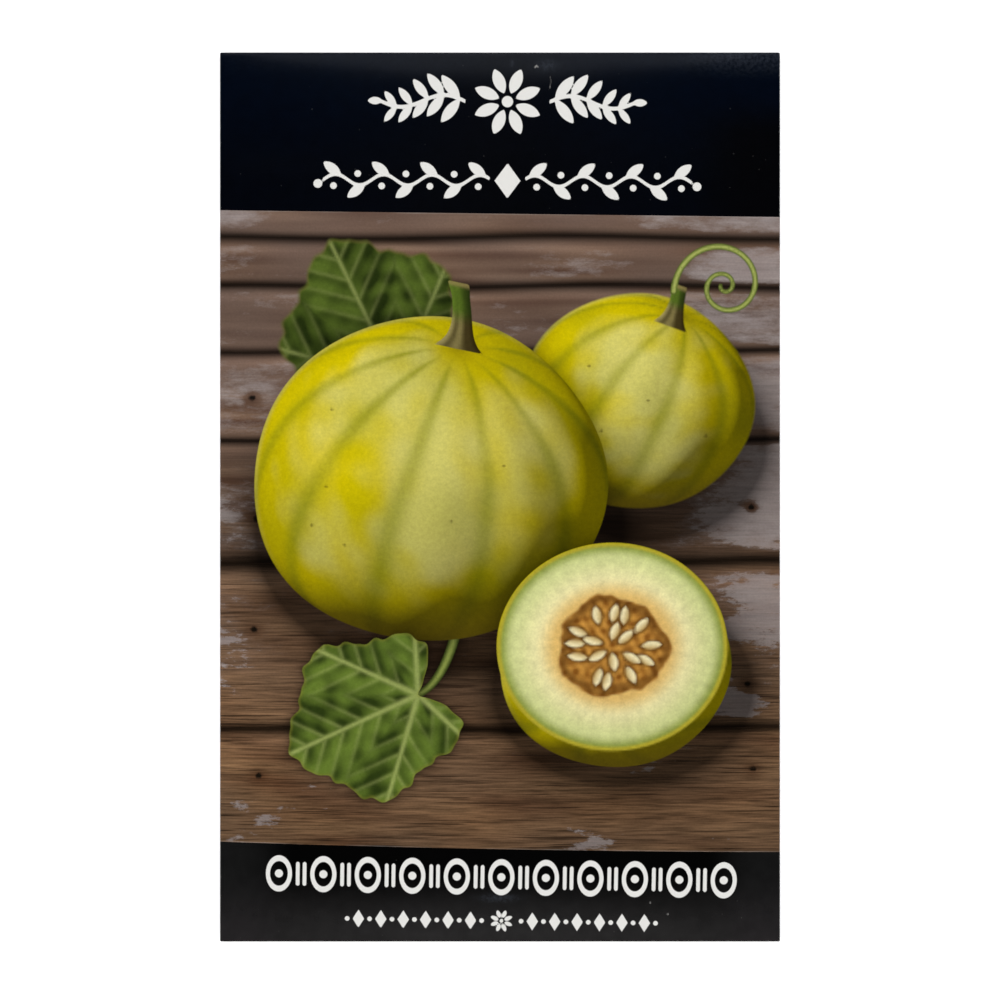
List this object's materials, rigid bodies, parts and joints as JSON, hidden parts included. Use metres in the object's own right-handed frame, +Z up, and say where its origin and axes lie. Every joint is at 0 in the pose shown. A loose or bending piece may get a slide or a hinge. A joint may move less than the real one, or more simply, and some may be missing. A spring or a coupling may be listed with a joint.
{
  "type": "seed packet",
  "caption": "Flat glued paper packet with a printed front, slightly bellied over the loose melon seeds inside it.",
  "frame": {"origin": "centre of the packet's outline, on the surface that it lies on", "axes": "+X towards the packet's right as its front is seen, +Y towards its top edge, +Z up, out of the printed front"},
  "size_m": [0.0826, 0.131, 0.004],
  "materials": {
    "paper": "heavy white paper, glossy coating outside, printed in dark inks on the front",
    "glue": "dried paper glue",
    "seed": "dry smooth melon seed"
  },
  "bodies": {
    "root": {"paper_sheet": "paper", "seam_glue": "glue", "bottom_glue": "glue", "top_glue": "glue", "seed_01": "seed", "seed_02": "seed", "seed_03": "seed", "seed_04": "seed", "seed_05": "seed", "seed_06": "seed", "seed_07": "seed", "seed_08": "seed", "seed_09": "seed", "seed_10": "seed", "seed_11": "seed", "seed_12": "seed", "seed_13": "seed", "seed_14": "seed", "seed_15": "seed", "seed_16": "seed", "seed_17": "seed", "seed_18": "seed", "seed_19": "seed", "seed_20": "seed", "seed_21": "seed", "seed_22": "seed", "seed_23": "seed", "seed_24": "seed", "seed_25": "seed"}
  },
  "joints": []
}
